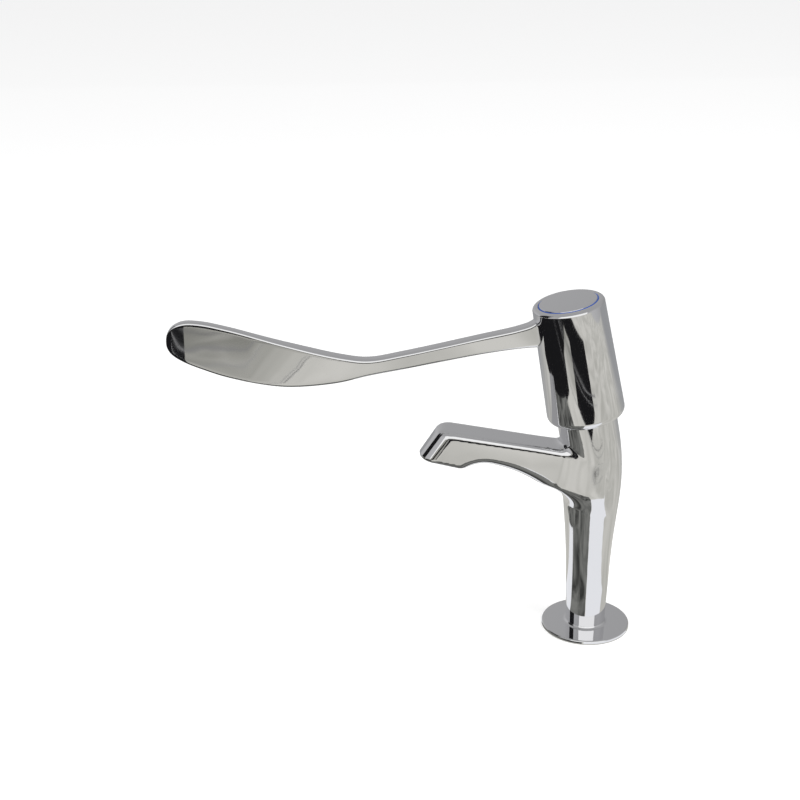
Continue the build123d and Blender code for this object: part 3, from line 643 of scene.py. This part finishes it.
WATERWAY_REACH, WATERWAY_HEIGHT, WATERWAY_RISE = 42.2, 109.94, 12.5
WATERWAY = tilted(WATERWAY_REACH, WATERWAY_HEIGHT, radians(90 - WATERWAY_RISE))
for name, profile, place in (
    ("chamber", drill(-34, (9.6, -6), (10.5, 6)), LEAN),
    ("seat_port", drill(-60, (5.5, -33)), LEAN),
    ("column_bore", drill(16, (5.5, 82)), Matrix()),
    ("spigot_bore", drill(0, (8.65, 16.4)), Matrix()),
    ("waterway", drill(-36, (5.0, 41)), WATERWAY),
    ("outlet", drill(-2, (7.75, 9), (5.6, 15)), OUTLET),
):
    take_away(body_skin, turned(name + "_cutter", profile, chrome, place, SMALL_STEPS))
body_skin.data.name = "body_skin"
work = bmesh.new()
work.from_mesh(body_skin.data)
print("body faces:", len(work.faces), "open edges:", sum(not e.is_manifold for e in work.edges))
work.free()

# %% [markdown]
# ## Threads
# A thread is one ridge that climbs as it turns, so a node tree makes it: a spiral carries the
# ridge's section with Curve to Mesh, its ends closed. Pitch, turns and radius are inputs, and the
# nut's inner ridge is the same tree set half a pitch off, so it lies between the tail's ridges.

# %% The thread tree
thread, given, result = new_tree("thread", {"Radius": 0.01, "Pitch": 0.0018, "Turns": 10.0})
as_curve = thread.nodes.new("GeometryNodeMeshToCurve")
spiral = thread.nodes.new("GeometryNodeCurveSpiral")
spiral.inputs["Resolution"].default_value = 64
climb = thread.nodes.new("ShaderNodeMath")
climb.operation = "MULTIPLY"
upward = thread.nodes.new("GeometryNodeSetCurveNormal")
upward.mode = "Z_UP"
sweep = thread.nodes.new("GeometryNodeCurveToMesh")
sweep.inputs["Fill Caps"].default_value = True
chain(
    thread,
    (given, "Pitch", climb, 0), (given, "Turns", climb, 1), (climb, 0, spiral, "Height"),
    (given, "Radius", spiral, "Start Radius"), (given, "Radius", spiral, "End Radius"),
    (given, "Turns", spiral, "Rotations"), (spiral, "Curve", upward, "Curve"),
    (upward, "Curve", sweep, "Curve"), (given, "Geometry", as_curve, "Mesh"),
    (as_curve, "Curve", sweep, "Profile Curve"),
)
close_tree(thread, given, sweep, "Mesh", result)


def ridge(name, profile, foot, turns, finish):
    """A threaded ridge from (radius, height) points of its section."""
    inputs = {"Radius": LATHE_CIRCLE, "Pitch": THREAD_PITCH * MM, "Turns": turns}
    data = grow(name, thread, finish, inputs, *closed_path(profile))
    return set_down(name, data, Matrix.Translation((0, 0, foot * MM)))


# %% The tail, its ridge and the nut's inner ridge
THREAD_PITCH, THREAD_FOOT, TAIL_TURNS = 1.814, -53.6, 28.5
NUT_FOOT, NUT_TURNS = THREAD_FOOT + 17.5 * THREAD_PITCH, 3.6
TAIL_RADIUS, SPIGOT_RADIUS, SPIGOT_TOP = 10.48, 8.6, 16.4
tail_skin = turned("tail_skin", [
    (6.5, -55.0, 0.4), (9.0, -55.0, 0.5), (9.35, -54.0), (9.35, -0.6), (TAIL_RADIUS, -0.6, 0.2),
    (TAIL_RADIUS, 1.4), (SPIGOT_RADIUS, 1.4), (SPIGOT_RADIUS, 11.0), (7.05, 11.0), (7.05, 12.8),
    (SPIGOT_RADIUS, 12.8), (SPIGOT_RADIUS, SPIGOT_TOP, 0.3), (6.5, SPIGOT_TOP),
], brass)
tail_ridge = ridge("tail_ridge", [
    (9.15, -0.84), (10.25, -0.30), (10.45, -0.14), (10.45, 0.14), (10.25, 0.30), (9.15, 0.84),
], THREAD_FOOT, TAIL_TURNS, brass)
nut_ridge = ridge("nut_ridge", [
    (10.7, -0.82), (9.75, -0.30), (9.62, -0.14), (9.62, 0.14), (9.75, 0.30), (10.7, 0.82),
], NUT_FOOT, NUT_TURNS, brass)

# %% [markdown]
# ## Lever
# The lever is cast with the head and polished: a slim neck grows into a broad thin paddle, which
# curves up towards its tip. Its outline is two smooth curves, read from the side, that meet at
# the tip. Cross-sections join equal shares of the two curves, and each is a rounded bar whose
# sides slant a little. At the head the outline widens, and the top stays under the head's rim.

# %% Lever measurements
LEVER_TOP = (
    (28.0, 199.0), (31.6, 190.6), (36.0, 185.9), (43.0, 183.2), (64.0, 178.7), (104.5, 170.4),
    (124.0, 167.4), (138.0, 169.2), (168.7, 177.3), (198.0, 186.4), (213.0, 190.0), (221.6, 190.3),
    (227.2, 187.8), (230.1, 183.6), (230.9, 179.2),
)
LEVER_UNDER = (
    (26.0, 169.8), (31.0, 171.2), (37.0, 171.3), (46.0, 170.6), (64.0, 168.2), (104.5, 161.0),
    (124.0, 157.6), (142.0, 153.6), (168.7, 152.2), (198.0, 158.3), (212.0, 163.4), (222.0, 168.0),
    (228.2, 172.4), (230.4, 176.0), (230.9, 179.2),
)
WIDTH_SHARES = (0.0, 0.10, 0.24, 0.42, 0.55, 0.66, 0.85, 1.0)
HALF_WIDTHS = (4.4, 3.4, 3.2, 3.2, 3.0, 2.6, 2.3, 2.1)
SLANT_REACHES, SLANTS = (100.0, 155.0, 188.0), (0.13, 0.12, 0.025)
TOP_CORNER, UNDER_CORNER, TALLEST_CORNER = 0.62, 0.5, 0.62
TIP_ROUND, TIP_LEAST = 10.0, 0.001
SLANT_GROWS = 0.3  # the slant is full from this share of the half width on
ROOT_SHARE, RIM_DEPTH = 0.1, 1.6
CURVE_POINTS = 2000
width_curve = smooth_path(list(zip(WIDTH_SHARES, HALF_WIDTHS)), 400)
print("lever reaches", LEVER_TOP[-1][0] - HEAD_REACH, "mm from the foot of the head's axis")


# %% Lever sections
def section(high, wide, steps=14):
    """A rounded bar's outline: four round corners joined by flats."""
    outline = []
    for sx, sy, start in ((1, 1, 0), (-1, 1, 1), (-1, -1, 2), (1, -1, 3)):
        radius = min((TOP_CORNER if sy > 0 else UNDER_CORNER) * wide, TALLEST_CORNER * high)
        for a in np.linspace(0, pi / 2, steps):
            turn = a + start * pi / 2
            outline.append((
                sx * (wide - radius) + radius * cos(turn), sy * (high - radius) + radius * sin(turn)
            ))
    # two more points on each flat, near its ends, keep its shading even
    result = []
    for i, here in enumerate(outline):
        result.append(here)
        if (i + 1) % steps == 0:
            after = outline[(i + 1) % len(outline)]
            result += [
                tuple(np.array(here) * (1 - s) + np.array(after) * s) for s in (0.06, 0.94)
            ]
    return result


def point_at(path, spot):
    """The point of a path at a place that may lie between two of its points."""
    i = min(int(spot), len(path) - 2)
    return path[i] + (spot - i) * (path[i + 1] - path[i])


def slanted(x, y, wide, reach):
    """Move a side point out above and in below, so that the side slants."""
    slant = np.interp(reach, SLANT_REACHES, SLANTS)
    return x + np.sign(x) * y * slant * min(abs(x) / (SLANT_GROWS * wide), 1)


def make_lever():
    # sections lie closer together at the root and at the tip
    shares = np.concatenate([
        np.linspace(0, 0.2, 60)[:-1], np.linspace(0.2, 0.9, 140)[:-1],
        0.9 + 0.1 * np.sin(np.linspace(0, pi / 2, 50)),
    ])
    top, under = smooth_path(LEVER_TOP, CURVE_POINTS), smooth_path(LEVER_UNDER, CURVE_POINTS)
    points, rings = [], []
    for share in shares[:-1]:
        upper, lower = (point_at(path, share * (CURVE_POINTS - 1)) for path in (top, under))
        span = upper - lower
        high = np.hypot(*span) / 2
        up = span / (2 * high)
        middle = (upper + lower) / 2
        wide = np.interp(share, width_curve[:, 0], width_curve[:, 1])
        left = max(np.hypot(*(top[-1] - middle)), TIP_LEAST)
        if left < TIP_ROUND:
            share_left = np.sqrt(1 - (1 - left / TIP_ROUND) ** 2)
            wide *= share_left * (1 - TIP_LEAST) + TIP_LEAST
        ring = []
        for x, y in section(high, wide):
            ring.append(len(points))
            reach, height = middle + up * y
            over = max(on_axis(reach, height)[0] - HEAD_LENGTH + RIM_DEPTH, 0)
            over *= share < ROOT_SHARE
            points.append((
                slanted(x, y, wide, middle[0]),
                -reach + over * sin(HEAD_LEAN), height - over * cos(HEAD_LEAN),
            ))
        rings.append(ring)
    faces = []
    for one, two in zip(rings[:-1], rings[1:]):
        faces += [
            (one[i], one[(i + 1) % len(one)], two[(i + 1) % len(one)], two[i])
            for i in range(len(one))
        ]
    last, tip = rings[-1], len(points)
    points.append((0.0, -top[-1][0], top[-1][1]))
    faces += [(last[i], last[(i + 1) % len(last)], tip) for i in range(len(last))]
    faces.append(tuple(rings[0]))
    return points, faces


points, faces = make_lever()
lever_skin = mesh_piece("lever_skin", points, faces, chrome)
face_outward(lever_skin.data)
sharpen(lever_skin.data, 50)

# %% [markdown]
# ## Camera
# Place and direction were fitted to the round flange, head and cap of the photo, whose ellipses
# give the height of the view and its tilt.

# %% Camera
camera_data = bpy.data.cameras.new("camera")
camera_data.lens, camera_data.sensor_width = 72.0, 36.0
camera_data.clip_start, camera_data.clip_end = 0.05, 20.0
CAMERA_PLACE = Vector((0.7986, -0.1630, 0.4708))
CAMERA_RIGHT = Vector((0.06976, 0.99756, 0.0))
CAMERA_FORWARD = Vector((-0.92302, 0.06454, -0.37929)).normalized()
CAMERA_UP = CAMERA_RIGHT.cross(CAMERA_FORWARD)
turned_to = Matrix((CAMERA_RIGHT, CAMERA_UP, -CAMERA_FORWARD)).transposed().to_4x4()
camera = link_object("camera", camera_data)
camera.matrix_world = Matrix.Translation(CAMERA_PLACE) @ turned_to
bpy.context.scene.camera = camera
bpy.context.scene.view_settings.view_transform = "Standard"
print("camera looks down by", round(-degrees(np.arcsin(CAMERA_FORWARD.z)), 1), "degrees")

# %% [markdown]
# ## Studio
# Chrome shows the room around it, so the room is drawn for the reflections. The camera sees a
# white floor and background only. It looks down, so the tap's upright faces mirror the floor:
# flat mats lie there, black, white or in soft streaks, and give the bands on head, column, spout
# and paddle. Walls and a ceiling in smooth greys are what cap, flange and the tops of spout and
# lever mirror. Two soft area lamps light the plastic and the rubber and cast the shadow.

# %% Floor and background
def camera_or_mirror(tree):
    """1 for rays from the camera or off a mirror, 0 for the light that falls on things."""
    path = tree.nodes.new("ShaderNodeLightPath")
    seen = tree.nodes.new("ShaderNodeMath")
    seen.operation = "MAXIMUM"
    chain(tree, (path, "Is Camera Ray", seen, 0), (path, "Is Glossy Ray", seen, 1))
    return seen.outputs[0]


def flat_piece(name, corners, material):
    data = bpy.data.meshes.new(name)
    data.from_pydata(corners, [], [tuple(range(len(corners)))])
    data.materials.append(material)
    piece = link_object(name, data)
    return piece


FLOOR_END, FLOOR_GLOW = 6, 0.42
WORLD_DIM, WORLD_FULL = 0.55, 1.0
floor_white, shader = start_material("floor_white", (0.82, 0.82, 0.82), 0.0, 0.7)
shader.inputs["Emission Color"].default_value = (1, 1, 1, 1)
spread(
    floor_white, camera_or_mirror(floor_white.node_tree), 0.0, FLOOR_GLOW,
    shader.inputs["Emission Strength"],
)
flat_piece("floor", [
    (-FLOOR_END, -FLOOR_END, 0), (FLOOR_END, -FLOOR_END, 0), (FLOOR_END, FLOOR_END, 0),
    (-FLOOR_END, FLOOR_END, 0),
], floor_white)

world = bpy.data.worlds.new("studio")
world.use_nodes = True
back = world.node_tree.nodes["Background"]
back.inputs["Color"].default_value = (1, 1, 1, 1)
seen = camera_or_mirror(world.node_tree)
spread(world, seen, WORLD_DIM, WORLD_FULL, back.inputs["Strength"])
bpy.context.scene.world = world
print("floor and background are white")


# %% Helpers for cards and mats
STREAK_DETAIL, STREAK_RISE = 5.0, (0.36, 0.64)


def card(name, corners, color):
    """A plain card round the tap, seen by reflections only."""
    material = bpy.data.materials.new(name)
    material.use_nodes = True
    tree = material.node_tree
    tree.nodes.clear()
    light = tree.nodes.new("ShaderNodeEmission")
    light.inputs["Color"].default_value = (*color, 1)
    out = tree.nodes.new("ShaderNodeOutputMaterial")
    tree.links.new(light.outputs[0], out.inputs["Surface"])
    piece = flat_piece(name, corners, material)
    piece.visible_camera = piece.visible_diffuse = piece.visible_shadow = False
    piece.visible_transmission = False
    return piece


def mat(name, corners, level, color):
    """A card flat on the floor; a higher level hides the mats below it."""
    return card(name, [(x, y, level * MM) for x, y in corners], color)


def wall_card(name, start, end, height, color):
    """An upright card over a line on the floor."""
    return card(name, [(*start, 0), (*end, 0), (*end, height), (*start, height)], color)


def paint(piece, color):
    """Give a card the colour of a node's output."""
    tree = piece.data.materials[0].node_tree
    tree.links.new(color, tree.nodes["Emission"].inputs["Color"])


def rise(material, value, start, end, curve):
    """A value that goes from 0 to 1 while another goes from start to end."""
    tree = material.node_tree
    ramp = tree.nodes.new("ShaderNodeMapRange")
    ramp.interpolation_type = curve
    ramp.inputs["From Min"].default_value = start
    ramp.inputs["From Max"].default_value = end
    tree.links.new(value, ramp.inputs["Value"])
    return ramp.outputs["Result"]


def streaks(piece, scale, swirl, first, second, stretch=(1.0, 0.35, 1.0)):
    """Two tones in soft streaks on a card, as a colour output."""
    material = piece.data.materials[0]
    noise = noise_on_object(material, scale, STREAK_DETAIL, stretch, swirl)
    share = rise(material, noise, *STREAK_RISE, "LINEAR")
    return blend(material, share, first, second)


def fade(piece, axis, start, end):
    """A value that goes from 0 to 1 along an axis of a card."""
    material = piece.data.materials[0]
    place = material.node_tree.nodes.new("ShaderNodeTexCoord")
    split = material.node_tree.nodes.new("ShaderNodeSeparateXYZ")
    chain(material.node_tree, (place, "Object", split, "Vector"))
    return rise(material, split.outputs[axis], start, end, "SMOOTHSTEP")


# %% Mats on the floor
BRIGHT, BLACK, CEILING = (0.86, 0.87, 0.90), (0.010, 0.010, 0.011), (0.37, 0.37, 0.375)
table = mat("table_mat", [(-2.5, -2.5), (2.5, -2.5), (2.5, 2.5), (-2.5, 2.5)], 0.3, BRIGHT)
surface = table.data.materials[0]
light_part = streaks(table, 9.0, 1.6, (0.47, 0.465, 0.43), (0.66, 0.65, 0.61))
dark_part = streaks(table, 16.0, 2.2, (0.235, 0.235, 0.21), (0.40, 0.395, 0.365))
side_part = blend(surface, fade(table, "X", 0.25, 0.42), light_part, dark_part)
near_part = blend(surface, fade(table, "Y", -0.06, -0.13), light_part, side_part)
far_tone = (0.33, 0.335, 0.345)
paint(table, blend(surface, fade(table, "X", -0.01, -0.40), near_part, far_tone))

mats = {}
for name, level, color, corners in (
    ("dark_mat", 0.6, BLACK, (
        (0.268, -0.115), (0.36, -0.135), (0.60, -0.21), (0.80, -0.27), (0.80, 0.31), (0.36, 0.14),
        (0.27, 0.005))),
    ("left_mat", 0.6, BLACK, (
        (0.22, -0.20), (0.30, -0.262), (0.485, -0.277), (0.50, -0.165), (0.80, -0.26),
        (0.75, -0.80), (-0.05, -0.85), (-0.13, -0.30), (0.05, -0.22))),
    ("white_mat", 0.9, BRIGHT, (
        (0.012, -0.003), (0.155, -0.028), (0.19, 0.03), (0.18, 0.16), (0.012, 0.05))),
    ("under_mat", 0.8, BRIGHT, (
        (-0.045, -0.02), (-0.002, -0.02), (-0.002, -0.105), (-0.045, -0.105))),
    ("grey_mat", 0.9, BLACK, (
        (0.012, -0.004), (0.16, -0.030), (0.19, -0.05), (0.15, -0.22), (-0.05, -0.27),
        (-0.10, -0.12), (-0.045, -0.105), (-0.002, -0.105), (-0.002, -0.012))),
):
    mats[name] = mat(name, corners, level, color)
paint(mats["grey_mat"], streaks(
    mats["grey_mat"], 26.0, 1.0, (0.035, 0.036, 0.034), (0.21, 0.212, 0.20), (1.0, 1.0, 1.0)))

# thin light lines across the black mats, each as (place at either end, half width, grey)
LINE_START, LINE_END, LINE_LEVEL = -0.45, 0.25, 0.75
LINES = (
    (0.238, 0.292, 0.0014, 0.16), (0.268, 0.262, 0.001, 0.25), (0.400, 0.436, 0.004, 0.24),
    (0.452, 0.425, 0.003, 0.16), (0.372, 0.388, 0.002, 0.30),
)
for number, (near, far, half, grey) in enumerate(LINES):
    mat("streak_%d" % number, [
        (near - half, LINE_START), (near + half, LINE_START), (far + half, LINE_END),
        (far - half, LINE_END),
    ], LINE_LEVEL, (grey, grey, grey))
print(len(mats) + 1, "mats are on the floor, with", len(LINES), "lines")

# %% Walls, ceiling and lamps
ROOM_BACK, ROOM_FRONT, ROOM_SIDE, ROOM_TOP = -1.6, 2, 2, 2
WALL_FADE_FROM, BLUER = 0.1, 1.02
wall_card("left_strip", (-0.5, -1.2), (0.25, -1.2), 1.2, BLACK)
for name, start, end, axis, fade_end, first, second in (
    ("back_wall", (ROOM_BACK, -ROOM_SIDE), (ROOM_BACK, ROOM_SIDE), "Y", ROOM_SIDE, 0.50, 0.30),
    ("left_wall", (ROOM_BACK, -ROOM_SIDE), (ROOM_FRONT, -ROOM_SIDE), "X", ROOM_FRONT, 0.50, 0.50),
    ("right_wall", (ROOM_BACK, ROOM_SIDE), (ROOM_FRONT, ROOM_SIDE), "X", 1, 0.30, 0.48),
):
    wall = wall_card(name, start, end, ROOM_TOP, CEILING)
    finish = wall.data.materials[0]
    greys = [(grey, grey, grey * BLUER) for grey in (first, second)]
    around = blend(finish, fade(wall, axis, start["XY".index(axis)], fade_end), *greys)
    paint(wall, blend(finish, fade(wall, "Z", WALL_FADE_FROM, ROOM_TOP), around, CEILING))
card("ceiling", [
    (ROOM_BACK, -ROOM_SIDE, ROOM_TOP), (ROOM_FRONT, -ROOM_SIDE, ROOM_TOP),
    (ROOM_FRONT, ROOM_SIDE, ROOM_TOP), (ROOM_BACK, ROOM_SIDE, ROOM_TOP),
], CEILING)


def lamp(name, place, aim, size, power):
    """A soft square lamp that reflections don't see."""
    data = bpy.data.lights.new(name, "AREA")
    data.shape, data.size, data.energy = "SQUARE", size, power
    piece = link_object(name, data)
    piece.matrix_world = Matrix.Translation(place) @ (
        Vector(aim) - Vector(place)).to_track_quat("-Z", "Y").to_matrix().to_4x4()
    piece.visible_glossy = False


lamp("key_lamp", (0.7, 0.9, 1.4), (0, 0, 0.1), size=1.0, power=14)
lamp("fill_lamp", (0.5, -1.2, 1.1), (0, -0.05, 0.1), size=1.2, power=7)
print("cards and lamps are in place")

# %% [markdown]
# ## Ride and replace
# Each skin rides on the body of the solid that it stands for.

# %% Ride and replace
for skin, body, nodes in (
    (body_skin, "body", ["tap_body"]), (foot_skin, "body", []),
    (flange_skin, "body", ["base_flange"]), (bush_skin, "body", ["outlet_bush"]),
    (head_skin, "lever", ["lever_handle"]), (lever_skin, "lever", []),
    (cap_skin, "lever", ["top_cap"]), (ring_skin, "lever", ["indice_ring"]),
    (tail_skin, "body", ["threaded_tail"]), (tail_ridge, "body", []), (nut_ridge, "body", []),
):
    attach(skin, body)
    if nodes:
        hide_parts(*nodes)
    elif skin in (tail_ridge, nut_ridge):
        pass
    else:
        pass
